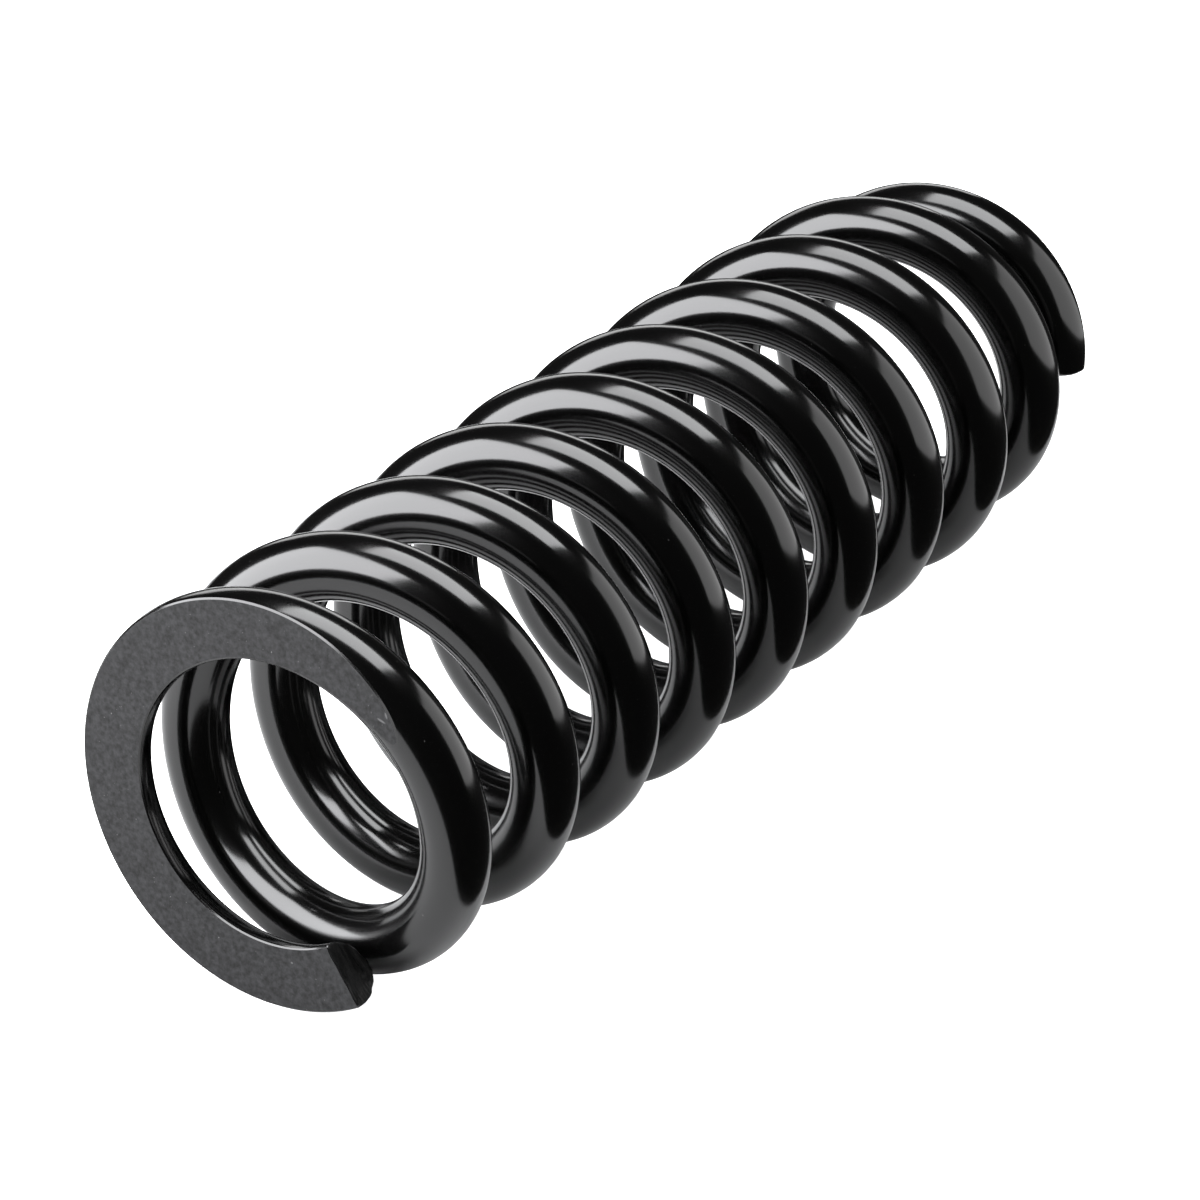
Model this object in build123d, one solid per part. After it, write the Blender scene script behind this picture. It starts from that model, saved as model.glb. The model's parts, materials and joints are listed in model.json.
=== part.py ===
from build123d import *
import math
import os

# A right-hand wound compression spring, lying on its side with its axis along X.
# Lengths are in millimetres and angles in degrees. x = 0 is halfway along the spring.
# The wide end is at -X, and the end whose last coil tapers inwards is at +X. Both are ground flat.
# An angle round the axis is 0 at +Y and 90 at +Z. Places along the wire are counted in turns
# from the wide end's cut tip.
free_length = 270.0
mean_radius = 35.2
wire_diameter = 13.4
active_pitch = 29.55
total_turns = 9.84
wide_tip_angle = -116.0

# Pitch in millimetres a turn, changing evenly between these numbers of turns.
wide_end_pitch = [(0.0, 5.2), (0.35, 2.2), (0.87, 34.3), (1.5, active_pitch)]
tapered_end_pitch = [
    (total_turns - 1.06, active_pitch),
    (total_turns - 0.91, 22.2),
    (total_turns + 0.1, 22.2),
]

# The wire's centre at the wide tip lies this far inside the ground plane.
wide_tip_inset = 0.3

# The first coil opens outwards, its tip bends back in a little, and the last coil draws in.
wide_tip_opening = 2.2
wide_opening_turns = 0.7
wide_tip_bend = 1.5
wide_bend_turns = 0.2
tapered_tip_reduction = 6.05
taper_turns = 1.68

# The wire is made this much too long at each tip and then cropped. The wide tip's cut leans
# forward from the plane through the axis, by the skew on its outer side and by the rake away
# from the ground face. The tapered tip's cut is square to the wire.
cropped_turns = 0.012
wide_cut_skew = 7.0
wide_cut_rake = 13.0

# The wire is divided where it crosses the level of the axis, every half turn.
# First come the coil that makes the wide end, then these half turns, then the tapered end.
active_half_turns = 14
first_cut = (360.0 - wide_tip_angle) / 360.0
last_cut = first_cut + active_half_turns / 2

sections_per_turn = 32
wire_radius = wire_diameter / 2


def smooth_step(x):
    x = min(max(x, 0.0), 1.0)
    return x * x * (3 - 2 * x)


def coil_radius(turns):
    opening = wide_tip_opening * (1 - smooth_step(turns / wide_opening_turns))
    bend = wide_tip_bend * max(1 - turns / wide_bend_turns, 0) ** 2
    reduction = tapered_tip_reduction * (1 - smooth_step((total_turns - turns) / taper_turns))
    return mean_radius + opening - bend - reduction


def advance(turns):
    """How far the wire has gone along X since its wide tip, the integral of the pitch."""
    stations = wide_end_pitch + tapered_end_pitch
    travelled = 0.0
    for (start, pitch_0), (end, pitch_1) in zip(stations, stations[1:]):
        if turns <= start:
            break
        part = min(turns, end) - start
        pitch = pitch_0 + (pitch_1 - pitch_0) * part / (end - start)
        travelled += part * (pitch_0 + pitch) / 2
    return travelled


def wire_angle(turns):
    return math.radians(wide_tip_angle + 360.0 * turns)


def lowest_point():
    """How far the wire reaches below the axis."""
    samples = [i / 360 for i in range(round(total_turns * 360))]
    return max(-coil_radius(t) * math.sin(wire_angle(t)) for t in samples) + wire_radius


axis_height = lowest_point()


def wire_centre(turns):
    angle = wire_angle(turns)
    x = -free_length / 2 + wide_tip_inset + advance(turns)
    y = coil_radius(turns) * math.cos(angle)
    z = axis_height + coil_radius(turns) * math.sin(angle)
    return Vector(x, y, z)


def outwards(turns):
    return Vector(0, math.cos(wire_angle(turns)), math.sin(wire_angle(turns)))


def round_the_axis(turns):
    return Vector(0, -math.sin(wire_angle(turns)), math.cos(wire_angle(turns)))


def wire_slope(turns):
    step = 1e-4
    pitch = (advance(turns + step) - advance(turns - step)) / (2 * step)
    return pitch / (2 * math.pi * coil_radius(turns))


def wire_section(turns):
    """The wire cut by the plane through the axis at this place: an ellipse, by the wire's slope."""
    plane = Plane(origin=wire_centre(turns), x_dir=outwards(turns), z_dir=round_the_axis(turns))
    return plane * Ellipse(wire_radius, wire_radius * math.hypot(1, wire_slope(turns)))


def wire(start, end):
    count = math.ceil((end - start) * sections_per_turn)
    return loft([wire_section(start + (end - start) * i / count) for i in range(count + 1)])


def crop(coil, turns, beyond):
    """The coil without what lies beyond the plane of a cut through the wire."""
    cut = Plane(origin=wire_centre(turns), x_dir=Vector(1, 0, 0), z_dir=beyond)
    upwards = (Align.CENTER, Align.CENTER, Align.MIN)
    waste = Box(2.2 * wire_radius, 3 * wire_radius, 0.6 * wire_radius, align=upwards)
    return coil - cut * waste


def crop_wide_tip(coil):
    skew = outwards(0) * math.tan(math.radians(wide_cut_skew))
    rake = Vector(1, 0, 0) * math.tan(math.radians(wide_cut_rake))
    return crop(coil, 0, (round_the_axis(0) + skew + rake) * -1)


def crop_tapered_tip(coil):
    beyond = round_the_axis(total_turns) + Vector(1, 0, 0) * wire_slope(total_turns)
    return crop(coil, total_turns, beyond)


def ground_flat(coil):
    """The coil without what reaches past the two ground planes."""
    width = 4 * mean_radius
    return coil & Pos(0, 0, axis_height) * Box(free_length, width, width)


def write_part(solid, name):
    solid.label = name
    export_step(solid, f"parts/{name}.step")


os.makedirs("parts", exist_ok=True)
write_part(ground_flat(crop_wide_tip(wire(-cropped_turns, first_cut))), "wide_end_coil")
for index in range(active_half_turns):
    start = first_cut + index / 2
    write_part(wire(start, start + 0.5), f"active_half_turn_{index + 1:02d}")
tapered_end = crop_tapered_tip(wire(last_cut, total_turns + cropped_turns))
write_part(ground_flat(tapered_end), "tapered_end_coil")
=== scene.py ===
import json
import math

import bpy
import numpy as np
from mathutils import Matrix, Vector


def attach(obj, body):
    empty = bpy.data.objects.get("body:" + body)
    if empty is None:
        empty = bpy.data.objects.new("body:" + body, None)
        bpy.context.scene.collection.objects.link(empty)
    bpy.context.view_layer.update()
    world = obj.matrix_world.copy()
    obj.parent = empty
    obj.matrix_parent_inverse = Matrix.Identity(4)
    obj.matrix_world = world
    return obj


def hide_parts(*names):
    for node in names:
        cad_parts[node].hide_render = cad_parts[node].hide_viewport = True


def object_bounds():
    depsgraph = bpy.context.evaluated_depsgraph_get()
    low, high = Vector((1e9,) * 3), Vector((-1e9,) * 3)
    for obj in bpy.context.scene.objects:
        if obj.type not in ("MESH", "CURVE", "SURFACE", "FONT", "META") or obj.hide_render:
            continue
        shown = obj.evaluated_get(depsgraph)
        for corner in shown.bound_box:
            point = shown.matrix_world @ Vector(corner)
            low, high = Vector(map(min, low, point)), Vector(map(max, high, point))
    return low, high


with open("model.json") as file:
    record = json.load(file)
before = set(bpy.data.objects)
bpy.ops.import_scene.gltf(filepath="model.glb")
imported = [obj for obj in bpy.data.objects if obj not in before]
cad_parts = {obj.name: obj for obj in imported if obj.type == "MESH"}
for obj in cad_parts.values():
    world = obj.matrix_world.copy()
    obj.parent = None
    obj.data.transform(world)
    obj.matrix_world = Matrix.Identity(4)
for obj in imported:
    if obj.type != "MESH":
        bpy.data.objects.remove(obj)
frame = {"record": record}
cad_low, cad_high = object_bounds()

# A coil spring that lies on its side with its axis along X. Lengths are in metres, places along
# the wire are in turns from the wide end's cut tip, and angles round the axis are 0 at +Y and 90
# degrees at +Z. These are the CAD source's own driving dimensions and formulas.
MM = 0.001
free_length = cad_high.x - cad_low.x
mean_radius = 35.2 * MM
wire_radius = 6.7 * MM
active_pitch = 29.55 * MM
total_turns = 9.84
wide_tip_angle = math.radians(-116)

# Pitch in metres a turn, changing evenly between these numbers of turns.
wide_end_pitch = [(0.0, 5.2 * MM), (0.35, 2.2 * MM), (0.87, 34.3 * MM), (1.5, active_pitch)]
tapered_end_pitch = [
    (total_turns - 1.06, active_pitch),
    (total_turns - 0.91, 22.2 * MM),
    (total_turns + 0.1, 22.2 * MM),
]

# The wire's centre at the wide tip lies this far inside the ground plane.
wide_tip_inset = 0.3 * MM

# The first coil opens outwards, its tip bends back in a little, and the last coil draws in.
wide_tip_opening = 2.2 * MM
wide_opening_turns = 0.7
wide_tip_bend = 1.5 * MM
wide_bend_turns = 0.2
tapered_tip_reduction = 6.05 * MM
taper_turns = 1.68

# The wide tip's cut leans forward from the plane through the axis. The tapered tip's is square.
wide_cut_skew = math.radians(7)
wide_cut_rake = math.radians(13)

# The wire is divided into the wide end, these half turns, and the tapered end.
active_half_turns = 14
first_cut = 1 - wide_tip_angle / math.tau
last_cut = first_cut + active_half_turns / 2

# The edge of a ground face has a narrow chamfer, its points at these shares of the way across,
# and it takes at most its limit of half the flat's width.
chamfer_reach = 0.28 * MM
chamfer_shares = [0, 0.12, 0.5, 0.88, 1]
chamfer_limit = 0.4

# A flat that takes off less than the thinnest isn't cut, and past it the rings turn back to even.
thinnest_flat = 0.012 * MM
flat_fade_turns = 0.2

# The wire's skin is a grid: points round the wire by rings along it. On a ground end a ring is
# a D: points across the flat, a chamfer on each side, and the rest of the circle.
FLAT_STEPS = 12
EDGE_STEPS = len(chamfer_shares) - 1
BACK_STEPS = 44
RING_POINTS = FLAT_STEPS + 2 * EDGE_STEPS + BACK_STEPS
RINGS_PER_ACTIVE_TURN = 180
RINGS_PER_END_TURN = 360

# The last rings before a tip lean, to end on its cut. Then come a rounded edge and the cut face,
# down to a small last ring. The tapered tip is worn, so it ends a little short of its cut.
cut_blend_turns = 0.06
wide_tip_round = 0.45 * MM
tapered_tip_round = 1.1 * MM
tapered_tip_worn = 0.6 * MM
TIP_ROUND_STEPS = 5
TIP_FACE_STEPS = 9
last_ring_share = 0.06

# The wide tip is torn: its edge wavers, with so many waves round it, and its rake is this many
# times smaller than the CAD's at the middle of the wire, growing outwards.
tear_height = 0.35 * MM
TEAR_WAVES = (3, 5, 8, 13)
TEAR_SEED = 4
ROUND_SEED = 6
rake_easing = 1.4

body_of = {n: b for b, nodes in frame["record"]["behaviour"]["bodies"].items() for n in nodes}


# The line of the wire.


def smooth_step(x):
    x = np.clip(x, 0, 1)
    return x * x * (3 - 2 * x)


def coil_radius(turns):
    opening = wide_tip_opening * (1 - smooth_step(turns / wide_opening_turns))
    bend = wide_tip_bend * np.maximum(1 - turns / wide_bend_turns, 0) ** 2
    reduction = tapered_tip_reduction * (1 - smooth_step((total_turns - turns) / taper_turns))
    return mean_radius + opening - bend - reduction


stations, pitches = np.array(wide_end_pitch + tapered_end_pitch).T
travel = np.concatenate([[0], np.cumsum(np.diff(stations) * (pitches[1:] + pitches[:-1]) / 2)])


def wire_pitch(turns):
    return np.interp(turns, stations, pitches)


def wire_x(turns):
    """How far along X the wire's centre is: its start plus the integral of the pitch."""
    span = np.clip(np.searchsorted(stations, turns, side="right") - 1, 0, len(stations) - 2)
    part = turns - stations[span]
    advance = travel[span] + part * (pitches[span] + wire_pitch(turns)) / 2
    return -free_length / 2 + wide_tip_inset + advance


def wire_angle(turns):
    return wide_tip_angle + math.tau * turns


def stretch(turns):
    """How much longer than round the wire's section is along X, because the wire slopes."""
    return np.hypot(1, wire_pitch(turns) / (math.tau * coil_radius(turns)))


def lowest_point():
    """How far the wire reaches below the axis."""
    samples = np.linspace(0, total_turns, 3600)
    return np.max(-coil_radius(samples) * np.sin(wire_angle(samples))) + wire_radius


axis_height = lowest_point()


def change(values, turns, step=1e-4):
    """The rate at which a function of the place along the wire changes there."""
    return (values(turns + step) - values(turns - step)) / (2 * step)


def ring_places(start, end, rings_per_turn):
    count = math.ceil((end - start) * rings_per_turn)
    return np.linspace(start, end, count + 1)


def turns_to_go(length, turns):
    """A length along the wire near a place on it, in turns."""
    return length / (math.tau * float(coil_radius(np.float64(turns))))


# Rings round the wire. In a ring u is outwards from the axis and v along it, to the side that the
# flat faces. Both are in wire radii.


def round_ring():
    """Angles of the points of a round ring, from the edge of where a flat would begin."""
    return math.pi / 2 + (np.arange(RING_POINTS) - FLAT_STEPS / 2) * math.tau / RING_POINTS


def flat_depth(turns, side):
    """How far out from the wire's centre the ground plane is, in wire radii."""
    return (free_length / 2 - side * wire_x(turns)) / (wire_radius * stretch(turns))


def is_cut(depth):
    """Whether the ground plane at this depth takes enough off the wire to leave a flat."""
    return depth < 1 - thinnest_flat / wire_radius


def ground_ring(depth):
    """A unit circle's ring cut by the line v = depth, with a chamfer on each corner.

    Gives the points' u and v, and the angles that the round part's normals have there.
    """
    depth = min(depth, 1 - thinnest_flat / wire_radius)
    half_flat = math.sqrt(1 - depth ** 2)
    reach = min(chamfer_reach / wire_radius, chamfer_limit * half_flat)
    corner = math.atan2(depth, half_flat) - reach
    flat = np.linspace(half_flat - reach, reach - half_flat, FLAT_STEPS + 1)[:-1]
    back = np.linspace(math.pi - corner, math.tau + corner, BACK_STEPS + 1)[:-1]
    share = np.array(chamfer_shares)
    chamfer_u = half_flat - reach + (math.cos(corner) - half_flat + reach) * share
    chamfer_v = depth + (math.sin(corner) - depth) * share
    u = np.concatenate([flat, -chamfer_u[:-1], np.cos(back), chamfer_u[:0:-1]])
    v = np.concatenate([np.full(FLAT_STEPS, depth), chamfer_v[:-1], np.sin(back), chamfer_v[:0:-1]])
    facing = np.concatenate([
        np.full(FLAT_STEPS, math.pi / 2), np.full(EDGE_STEPS, math.pi - corner),
        back, np.full(EDGE_STEPS, corner)])
    return u, v, facing


def flat_weight():
    """1 across a ring's flat and half on its chamfers, where the normal is half turned."""
    half_turned = [0.5] * (EDGE_STEPS - 1)
    return np.array([1] * FLAT_STEPS + [1] + half_turned + [0] * BACK_STEPS + [0] + half_turned)


def easing_ring(depth, away):
    """Angles of a ring past the end of a flat, from the D's own at away = 0 to even at 1."""
    cut_u, cut_v, _ = ground_ring(depth)
    turned = np.unwrap(np.arctan2(cut_v, cut_u))
    return turned + (round_ring() - turned) * smooth_step(away)


def ring_grid(turns, side, ground):
    """Each ring's u, v, facing angle and flatness, before it is put on the wire."""
    facing = np.tile(round_ring(), (len(turns), 1))
    u, v = np.cos(facing), np.sin(facing)
    flatness = np.zeros((len(turns), RING_POINTS))
    if not ground:
        return u, v, facing, flatness
    depth = flat_depth(turns, side)
    cut = is_cut(depth)
    end_of_flat = turns[cut].max() if side < 0 else turns[cut].min()
    for i, place in enumerate(turns):
        if cut[i]:
            u[i], v[i], facing[i] = ground_ring(depth[i])
            flatness[i] = flat_weight()
        else:
            facing[i] = easing_ring(depth[i], abs(place - end_of_flat) / flat_fade_turns)
            u[i], v[i] = np.cos(facing[i]), np.sin(facing[i])
    return u, v, facing, flatness


def tear_line(seed):
    """An uneven line round a ring, of about -1 to 1, as the edge of a torn cut runs."""
    chance = np.random.default_rng(seed)
    round_rim = np.linspace(0, math.tau, RING_POINTS, endpoint=False)
    waves = [np.sin(count * round_rim + chance.uniform(0, math.tau)) for count in TEAR_WAVES]
    return sum(waves) / len(TEAR_WAVES)


def lean_of_cuts(turns, u, v):
    """How far the rings near the tips lean along the wire, in turns, to end on the tips' cuts."""
    around = math.tau * coil_radius(turns)[:, None]
    near_wide = np.clip(1 - turns / cut_blend_turns, 0, 1)[:, None] ** 2
    near_tapered = np.clip(1 - (total_turns - turns) / cut_blend_turns, 0, 1)[:, None] ** 2
    skew = -math.tan(wide_cut_skew) * wire_radius * u / around
    rake = math.tan(wide_cut_rake) * wire_radius * v * (1 + u) / rake_easing / around
    torn = tear_height * tear_line(TEAR_SEED) / around
    slope = (wire_pitch(turns) / around[:, 0])[:, None]
    square = -slope * wire_radius * v / around
    return near_wide * (skew + rake + torn) + near_tapered * square


# The wire's skin, as grids of points and normals.


def around_axis(angle):
    """Unit vectors out from the axis and along the turn, at an angle round the axis."""
    zero = np.zeros_like(angle)
    out = np.stack([zero, np.cos(angle), np.sin(angle)], -1)
    along = np.stack([zero, -np.sin(angle), np.cos(angle)], -1)
    return out, along


def ring_points(x, radius, angle, long_axis, side, u, v):
    out, _ = around_axis(angle)
    points = (radius + wire_radius * u)[..., None] * out
    points[..., 0] += x[:, None] + side * wire_radius * long_axis[:, None] * v
    points[..., 2] += axis_height
    return points


def ring_normals(turns, radius, angle, long_axis, side, facing, flatness):
    """The skin's normals, from its slopes along and round the wire."""
    out, along = around_axis(angle)
    x_rate = wire_pitch(turns)[:, None]
    radius_rate = change(coil_radius, turns)[:, None]
    across, towards = np.cos(facing), side * np.sin(facing)
    turn_length = math.tau * (radius + wire_radius * across)
    x_part = towards * turn_length
    out_part = long_axis[:, None] * across * turn_length
    along_part = -long_axis[:, None] * across * radius_rate - towards * x_rate
    normals = out_part[..., None] * out + along_part[..., None] * along
    normals[..., 0] += x_part
    normals /= np.linalg.norm(normals, axis=-1, keepdims=True)
    flat_normal = np.array([side, 0.0, 0.0])
    normals += (flat_normal - normals) * flatness[..., None]
    return normals / np.linalg.norm(normals, axis=-1, keepdims=True)


def skin_grid(turns, side, ground):
    """Points and normals of the wire's skin, one ring for each place in turns.

    side is +1 or -1, the way along X that a ring's flat faces, and ground says if there is one.
    """
    long_axis = stretch(turns)
    u, v, facing, flatness = ring_grid(turns, side, ground)
    leaning = turns[:, None] + lean_of_cuts(turns, u, v)
    radius, angle = coil_radius(leaning), wire_angle(leaning)
    points = ring_points(wire_x(turns), radius, angle, long_axis, side, u, v)
    normals = ring_normals(turns, radius, angle, long_axis, side, facing, flatness)
    return points, normals


def wide_cut_normal():
    out, along = around_axis(wire_angle(np.array([0.0])))
    skew, rake = math.tan(wide_cut_skew), math.tan(wide_cut_rake)
    leaning = along[0] + out[0] * skew + np.array([rake, 0, 0])
    return -leaning / np.linalg.norm(leaning)


def tapered_cut_normal():
    end = np.array([total_turns])
    _, along = around_axis(wire_angle(end))
    normal = along[0] + np.array([1, 0, 0]) * wire_pitch(end) / (math.tau * coil_radius(end))
    return normal / np.linalg.norm(normal)


def tip_rings(rim, rim_normals, beyond, tip_round, ragged):
    """Rings that close a cropped tip: its rounded edge, then its face down to a small ring.

    beyond is the cut's unit normal, and rim the skin's last ring, which stops short of the cut.
    """
    centre = rim.mean(0)
    inwards = centre - rim
    inwards /= np.linalg.norm(inwards, axis=-1, keepdims=True)
    rings, normals = [], []
    for turn in np.linspace(0, math.pi / 2, TIP_ROUND_STEPS + 1)[1:]:
        inset = tip_round * ragged * (1 - math.cos(turn))
        rings.append(rim + inwards * inset + beyond * tip_round * math.sin(turn))
        normals.append(rim_normals * math.cos(turn) + beyond * math.sin(turn))
    face_rim = rings[-1]
    for share in np.linspace(1, last_ring_share, TIP_FACE_STEPS + 1)[1:]:
        rings.append(centre + (face_rim - centre) * share + beyond * tip_round * (1 - share))
        normals.append(np.tile(beyond, (RING_POINTS, 1)))
    return rings, normals


def close_wide_tip(points, normals):
    """The skin with the wide tip's rings added before its first ring."""
    ragged = 1 + tear_line(ROUND_SEED)[:, None]
    rings, turned = tip_rings(points[0], normals[0], wide_cut_normal(), wide_tip_round, ragged)
    return np.stack(rings[::-1] + list(points)), np.stack(turned[::-1] + list(normals))


def close_tapered_tip(points, normals):
    """The skin with the tapered tip's rings added after its last ring."""
    rings, turned = tip_rings(points[-1], normals[-1], tapered_cut_normal(), tapered_tip_round, 1)
    return np.stack(list(points) + rings), np.stack(list(normals) + turned)


# Meshes.


def grid_faces(rings, side):
    """Four-sided faces between the rings, and one face that closes each end."""
    index = np.arange(rings * RING_POINTS).reshape(rings, RING_POINTS)
    this, following = index[:-1], index[1:]
    quads = [this, np.roll(this, -1, 1), np.roll(following, -1, 1), following]
    quads = np.stack(quads, -1).reshape(-1, 4)
    first, last = index[0][::-1], index[-1]
    if side > 0:
        quads = quads[:, ::-1]
        first, last = first[::-1], last[::-1]
    return [tuple(face) for face in quads.tolist()] + [tuple(first.tolist()), tuple(last.tolist())]


def set_normals(mesh, normals):
    """Give the mesh the grid's true normals, and the two faces that close it their own."""
    corner_vertex = np.zeros(len(mesh.loops), np.int32)
    mesh.loops.foreach_get("vertex_index", corner_vertex)
    corner_normals = normals.reshape(-1, 3)[corner_vertex]
    for polygon in mesh.polygons[-2:]:
        corners = slice(polygon.loop_start, polygon.loop_start + polygon.loop_total)
        corner_normals[corners] = polygon.normal
    mesh.normals_split_custom_set(corner_normals.tolist())


def wire_object(name, points, normals, side, materials):
    """A closed length of wire. Its materials are the coat, the ground face and the cropped tip."""
    mesh = bpy.data.meshes.new(name)
    mesh.from_pydata(points.reshape(-1, 3).tolist(), [], grid_faces(len(points), side))
    mesh.update()
    mesh.shade_smooth()
    set_normals(mesh, normals)
    for material in materials:
        mesh.materials.append(material)
    piece = bpy.data.objects.new(name, mesh)
    bpy.context.scene.collection.objects.link(piece)
    return piece


COAT_SLOT, FLAT_SLOT, TIP_SLOT = 0, 1, 2


def mark_faces(piece, side, on_flat):
    """Give the ground flat and the cropped tip their materials. on_flat says which rings have one.

    The tip's material also covers the inner part of its rounded edge.
    """
    polygons = piece.data.polygons
    strips = (len(polygons) - 2) // RING_POINTS
    slot = np.full((strips, RING_POINTS), COAT_SLOT, np.int32)
    at_start = side < 0
    skin_start = TIP_ROUND_STEPS + TIP_FACE_STEPS if at_start else 0
    for strip in np.flatnonzero(on_flat[:-1] & on_flat[1:]):
        slot[skin_start + strip, :FLAT_STEPS] = FLAT_SLOT
    tip_strips = TIP_FACE_STEPS + TIP_ROUND_STEPS // 2
    if at_start:
        slot[:tip_strips] = TIP_SLOT
        ends = [TIP_SLOT, COAT_SLOT]
    else:
        slot[-tip_strips:] = TIP_SLOT
        ends = [COAT_SLOT, TIP_SLOT]
    polygons.foreach_set("material_index", np.concatenate([slot.ravel(), ends]).astype(np.int32))


# Materials. A noise's scale is in lumps to the metre, and most of its values lie in NOISE_SPAN.
NOISE_SPAN = (0.3, 0.7)


def make_material(name, colour, roughness):
    """A material with plain values, which nodes may then vary."""
    material = bpy.data.materials.new(name)
    material.use_nodes = True
    shader = material.node_tree.nodes["Principled BSDF"]
    shader.inputs["Base Color"].default_value = (*colour, 1)
    shader.inputs["Roughness"].default_value = roughness
    return material


def add_node(material, kind, links=None, **values):
    """A shader node with some of its settings and inputs set, and some inputs linked."""
    node = material.node_tree.nodes.new(kind)
    for key, value in values.items():
        if hasattr(node, key):
            setattr(node, key, value)
        else:
            node.inputs[key].default_value = value
    for key, output in (links or {}).items():
        material.node_tree.links.new(output, node.inputs[key])
    return node


def noise(material, scale, detail=2.0, squeeze=(1, 1, 1)):
    """Noise from 0 to 1, finer along the squeezed axes."""
    place = add_node(material, "ShaderNodeTexCoord").outputs["Object"]
    mapped = add_node(material, "ShaderNodeMapping", {"Vector": place}, Scale=squeeze)
    lumps = add_node(
        material, "ShaderNodeTexNoise", {"Vector": mapped.outputs[0]}, Scale=scale, Detail=detail)
    return lumps.outputs[0]


def ranged(material, value, span, new_span):
    """A value's span, spread over the new span and held at its ends."""
    node = add_node(material, "ShaderNodeMapRange", {"Value": value})
    names = ("From Min", "From Max", "To Min", "To Max")
    for key, number in zip(names, (*span, *new_span)):
        node.inputs[key].default_value = number
    return node.outputs[0]


def link_shader(material, name, output):
    shader = material.node_tree.nodes["Principled BSDF"]
    material.node_tree.links.new(output, shader.inputs[name])


def set_specular(material, level):
    shader = material.node_tree.nodes["Principled BSDF"]
    shader.inputs["Specular IOR Level"].default_value = level


def relief(material, height, depth, under=None):
    """A bump of some depth in metres, on top of another bump."""
    links = {"Height": height}
    if under is not None:
        links["Normal"] = under
    return add_node(material, "ShaderNodeBump", links, Strength=1.0, Distance=depth).outputs[0]


def mixed_colour(material, share, first, second):
    """A mix of two colours by a share, where the first may be another node's output."""
    mix = add_node(material, "ShaderNodeMix", data_type="RGBA")
    material.node_tree.links.new(share, mix.inputs["Factor"])
    colours = [socket for socket in mix.inputs if socket.type == "RGBA"]
    if isinstance(first, tuple):
        colours[0].default_value = (*first, 1)
    else:
        material.node_tree.links.new(first, colours[0])
    colours[1].default_value = (*second, 1)
    return [socket for socket in mix.outputs if socket.type == "RGBA"][0]


def specks(material, colour, speck_colour, scale, threshold):
    """A colour with small specks where a fine noise passes its threshold."""
    spots = ranged(material, noise(material, scale, detail=1.0), threshold, (0, 1))
    return mixed_colour(material, spots, colour, speck_colour)


def make_gloss_black():
    """Gloss powder coat: deep black, a faint orange peel and a little dust."""
    black, dust = (0.0005, 0.0005, 0.0005), (0.03, 0.03, 0.029)
    coat = make_material("gloss_black_coat", black, 0.15)
    link_shader(coat, "Base Color", specks(coat, black, dust, scale=900, threshold=(0.80, 0.84)))
    patches = noise(coat, scale=70)
    link_shader(coat, "Roughness", ranged(coat, patches, NOISE_SPAN, (0.13, 0.17)))
    orange_peel = relief(coat, noise(coat, scale=500), depth=0.0025 * MM)
    link_shader(coat, "Normal", orange_peel)
    return coat


# Bare marks on the wide end's ground face: y and z of the middle, angle from +Y, length, width.
worn_marks = [
    ((-4.1 * MM, 10.7 * MM), 0, 0.6 * MM, 0.5 * MM),
    ((-25.7 * MM, 68.0 * MM), math.radians(20), 2.2 * MM, 0.55 * MM),
    ((-26.8 * MM, 69.3 * MM), math.radians(70), 1.5 * MM, 0.5 * MM),
    ((-29.3 * MM, 64.6 * MM), math.radians(120), 2.4 * MM, 0.55 * MM),
]


def mark(material, centre, angle, length, width):
    """1 inside a small ellipse on the wide end's ground plane, fading to 0 at its edge."""
    place = add_node(material, "ShaderNodeTexCoord").outputs["Object"]
    mapped = add_node(material, "ShaderNodeMapping", {"Vector": place}, vector_type="TEXTURE")
    mapped.inputs["Location"].default_value = (-free_length / 2, *centre)
    mapped.inputs["Rotation"].default_value = (angle, 0, 0)
    mapped.inputs["Scale"].default_value = (1, length / 2, width / 2)
    far = add_node(
        material, "ShaderNodeVectorMath", {"Vector": mapped.outputs[0]}, operation="LENGTH")
    fading = (0.6, 1.0)
    return ranged(material, far.outputs["Value"], fading, (1, 0))


def make_ground_face():
    """The ground end under a thin satin coat: mottled dark grey, with light grains and bare marks."""
    dark, pale = (0.002, 0.002, 0.002), (0.016, 0.016, 0.017)
    grain, bare = (0.10, 0.10, 0.10), (0.055, 0.055, 0.056)
    face = make_material("satin_ground_face", (0.006, 0.006, 0.007), 0.45)
    set_specular(face, 0.18)
    mottle = ranged(face, noise(face, scale=1100, detail=4.0), NOISE_SPAN, (0, 1))
    grey = mixed_colour(face, mottle, dark, pale)
    grey = specks(face, grey, grain, scale=1900, threshold=(0.76, 0.85))
    for centre, angle, length, width in worn_marks:
        grey = mixed_colour(face, mark(face, centre, angle, length, width), grey, bare)
    link_shader(face, "Base Color", grey)
    patches = noise(face, scale=350, detail=3.0)
    link_shader(face, "Roughness", ranged(face, patches, NOISE_SPAN, (0.40, 0.50)))
    scratches = relief(face, noise(face, scale=400, detail=3.0, squeeze=(1, 6, 1)), 0.004 * MM)
    grit = relief(face, noise(face, scale=1800, detail=3.0), 0.012 * MM, under=scratches)
    link_shader(face, "Normal", grit)
    return face


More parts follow.
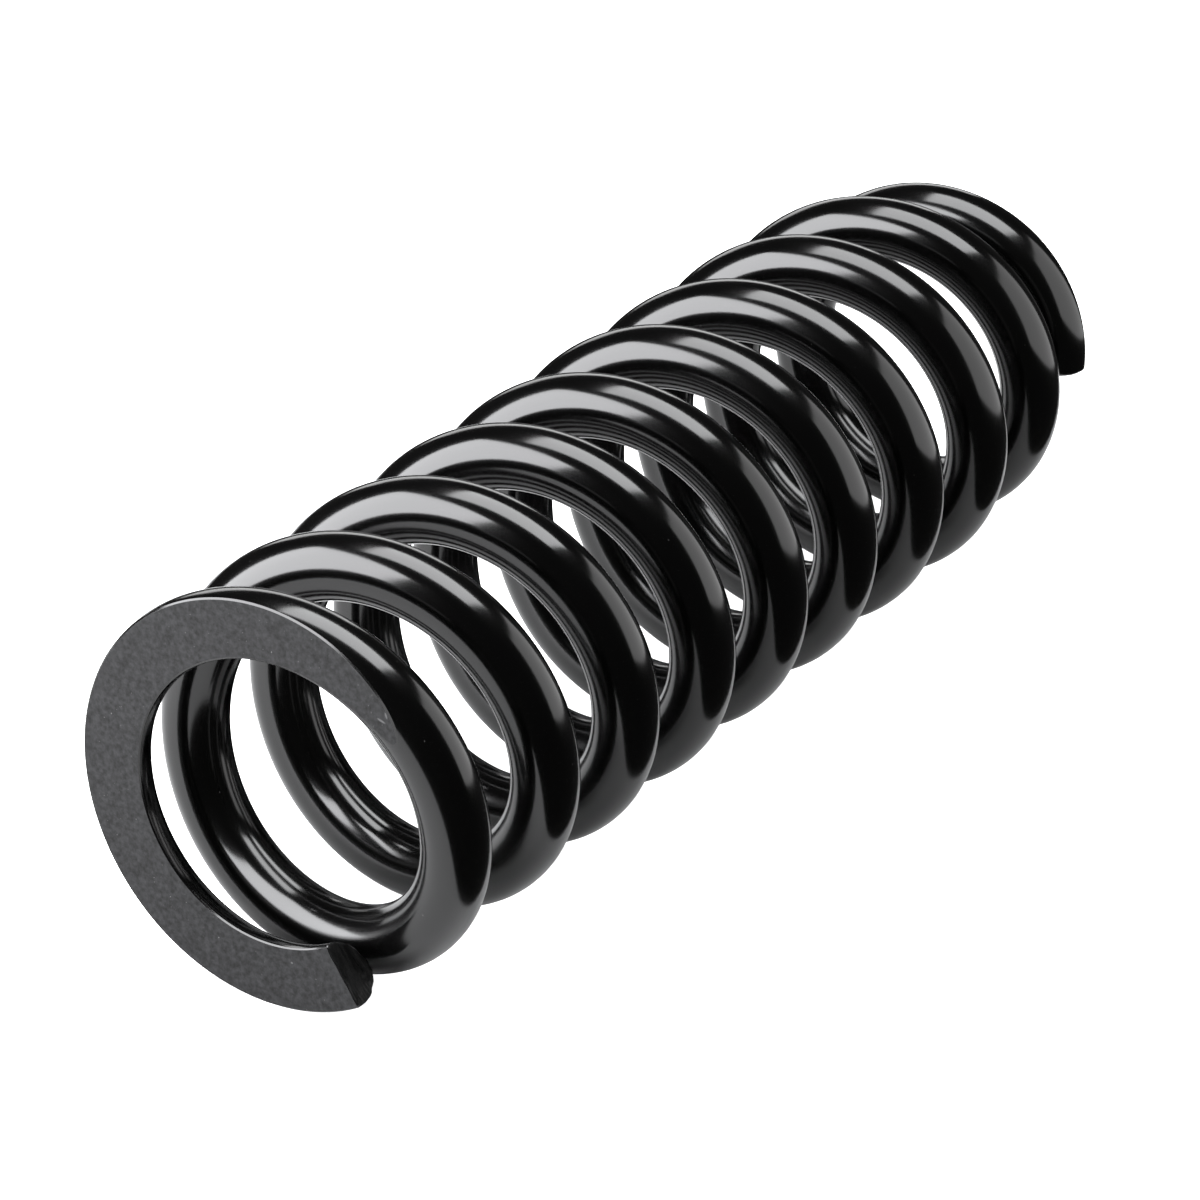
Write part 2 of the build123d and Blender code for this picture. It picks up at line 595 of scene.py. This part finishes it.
def make_cropped_tip():
    """A sheared cut under the coat: nearly black and rough, streaked along the shear."""
    tip = make_material("rough_cropped_tip", (0.002, 0.002, 0.002), 0.5)
    set_specular(tip, 0.25)
    streaks = noise(tip, scale=130, detail=3.0, squeeze=(9, 1, 1))
    link_shader(tip, "Roughness", ranged(tip, streaks, (0.35, 0.65), (0.30, 0.60)))
    torn = relief(tip, noise(tip, scale=380, detail=4.0), 0.3 * MM)
    link_shader(tip, "Normal", relief(tip, streaks, 0.4 * MM, under=torn))
    return tip


# The pieces.
gloss_black = make_gloss_black()
end_materials = (gloss_black, make_ground_face(), make_cropped_tip())


def stand_for(piece, node):
    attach(piece, body_of[node])
    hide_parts(node)


def make_end(name, turns, side, close_tip):
    """A ground end with its cropped tip, where the wide end starts and the tapered end stops."""
    points, normals = close_tip(*skin_grid(turns, side, ground=True))
    piece = wire_object(name, points, normals, side, end_materials)
    mark_faces(piece, side, is_cut(flat_depth(turns, side)))
    return piece


def make_wide_end():
    start = turns_to_go(wide_tip_round, 0)
    turns = ring_places(start, first_cut, RINGS_PER_END_TURN)
    wide_end = make_end("coated_wide_end", turns, -1, close_wide_tip)
    stand_for(wide_end, "wide_end_coil")


def make_half_turn(number):
    start = first_cut + (number - 1) / 2
    turns = ring_places(start, start + 0.5, RINGS_PER_ACTIVE_TURN)
    points, normals = skin_grid(turns, 1, ground=False)
    half_turn = wire_object(f"coated_half_turn_{number:02d}", points, normals, 1, (gloss_black,))
    stand_for(half_turn, f"active_half_turn_{number:02d}")


def make_tapered_end():
    end = total_turns - turns_to_go(tapered_tip_round + tapered_tip_worn, total_turns)
    turns = ring_places(last_cut, end, RINGS_PER_END_TURN)
    tapered_end = make_end("coated_tapered_end", turns, 1, close_tapered_tip)
    stand_for(tapered_end, "tapered_end_coil")


make_wide_end()
for number in range(1, active_half_turns + 1):
    make_half_turn(number)
make_tapered_end()

# The studio. The coating mirrors a pale table that the white floor hides from the camera.
FLOOR_REACH = 4
BACKDROP_RADIUS = 3.9
TABLE_LEFT, TABLE_RIGHT = -0.8, 0.25
TABLE_FRONT, TABLE_BACK = -0.052, 0.8
TABLE_DROP = 0.2 * MM


def hide_from(thing, *rays):
    for ray in rays:
        setattr(thing, "visible_" + ray, False)


def glowing_material(name, colour, roughness, glow):
    """A matt material that also gives off white light."""
    material = make_material(name, colour, roughness)
    set_specular(material, 0)
    shader = material.node_tree.nodes["Principled BSDF"]
    shader.inputs["Emission Color"].default_value = (1, 1, 1, 1)
    shader.inputs["Emission Strength"].default_value = glow
    return material


def plane(name, low_x, high_x, low_y, high_y, z, material):
    """A level rectangle that belongs to the studio and not to the spring."""
    mesh = bpy.data.meshes.new(name)
    corners = [(low_x, low_y, z), (high_x, low_y, z), (high_x, high_y, z), (low_x, high_y, z)]
    mesh.from_pydata(corners, [], [(0, 1, 2, 3)])
    mesh.materials.append(material)
    level = bpy.data.objects.new(name, mesh)
    bpy.context.scene.collection.objects.link(level)
    return level


def make_floor():
    """A white floor that glows a little, which the coating doesn't mirror."""
    white = glowing_material("pale_floor", (0.8, 0.8, 0.8), 0.9, glow=0.95)
    floor = plane("floor", -FLOOR_REACH, FLOOR_REACH, -FLOOR_REACH, FLOOR_REACH, 0, white)
    hide_from(floor, "diffuse", "glossy", "shadow")


def make_table_top():
    """What the coating mirrors of the surface below it: a pale table that ends close in front."""
    pale = make_material("pale_table_top", (0.5, 0.5, 0.5), 0.9)
    table = plane(
        "table_top", TABLE_LEFT, TABLE_RIGHT, TABLE_FRONT, TABLE_BACK, -TABLE_DROP, pale)
    hide_from(table, "camera", "shadow")


def make_backdrop():
    """A pale dome all round, for low views past the floor's edge."""
    bpy.ops.mesh.primitive_uv_sphere_add(segments=48, ring_count=24, radius=BACKDROP_RADIUS)
    dome = bpy.context.object
    dome.name = "backdrop"
    dome.data.materials.append(glowing_material("pale_backdrop", (0, 0, 0), 1, glow=0.85))
    hide_from(dome, "diffuse", "glossy", "transmission", "shadow")


def make_camera():
    """The camera looks down on the wide end from its left, along a level horizon."""
    data = bpy.data.cameras.new("camera")
    data.sensor_width = 36
    data.lens = 146.25
    data.clip_start, data.clip_end = 0.05, 20
    camera = bpy.data.objects.new("camera", data)
    target = Vector((-0.0090, 0.0046, 0.0325))
    azimuth, elevation, distance = math.radians(-58.594), math.radians(25.915), 1.0126
    back = Vector((
        math.sin(azimuth) * math.cos(elevation),
        -math.cos(azimuth) * math.cos(elevation),
        math.sin(elevation)))
    camera.location = target + back * distance
    camera.rotation_euler = (-back).to_track_quat("-Z", "Y").to_euler()
    bpy.context.scene.collection.objects.link(camera)
    bpy.context.scene.camera = camera


def softbox(name, place, yaw, pitch, roll, size, brightness, tint=(1, 1, 1)):
    """A rectangular lamp, seen from the spring at a yaw round +Z and a pitch above the level.

    A lamp of brightness 1 looks as bright as a white sheet that gives off light of strength 1.
    """
    data = bpy.data.lights.new(name, "AREA")
    data.shape = "RECTANGLE"
    data.size, data.size_y = size
    data.color = tint
    data.energy = brightness * math.pi * size[0] * size[1]
    lamp = bpy.data.objects.new(name, data)
    lamp.location = place
    yaw, pitch = math.radians(yaw), math.radians(pitch)
    behind = Vector((
        math.cos(pitch) * math.cos(yaw), math.cos(pitch) * math.sin(yaw), math.sin(pitch)))
    facing = (-behind).to_track_quat("-Z", "Y").to_matrix()
    lamp.rotation_euler = (facing @ Matrix.Rotation(math.radians(roll), 3, "Z")).to_euler()
    hide_from(lamp, "camera")
    bpy.context.scene.collection.objects.link(lamp)


def make_lamps():
    """A large softbox on the left, a smaller one on the right, one above and a card far behind."""
    softbox(
        "left_softbox", (-0.581, 0.394, 0.328), yaw=146, pitch=27.2, roll=-4,
        size=(0.79, 0.894), brightness=12.9, tint=(0.975, 0.98, 1))
    softbox(
        "right_softbox", (0.17, -0.262, 0.166), yaw=-59.4, pitch=-9.6, roll=-5.2,
        size=(0.404, 0.308), brightness=2.05)
    softbox(
        "top_softbox", (0.044, -0.103, 0.742), yaw=32, pitch=90, roll=0,
        size=(0.52, 0.67), brightness=9.5, tint=(0.98, 0.99, 1))
    softbox(
        "far_card", (1.19, 0.89, 0.45), yaw=37, pitch=5, roll=0,
        size=(1.2, 0.43), brightness=2.5)


def make_world():
    """The dark studio between the lamps."""
    world = bpy.data.worlds.new("dark_studio")
    bpy.context.scene.world = world
    world.use_nodes = True
    world.node_tree.nodes["Background"].inputs["Color"].default_value = (0.04, 0.04, 0.04, 1)


make_floor()
make_table_top()
make_backdrop()
make_camera()
make_lamps()
make_world()
bpy.context.scene.view_settings.view_transform = "Standard"
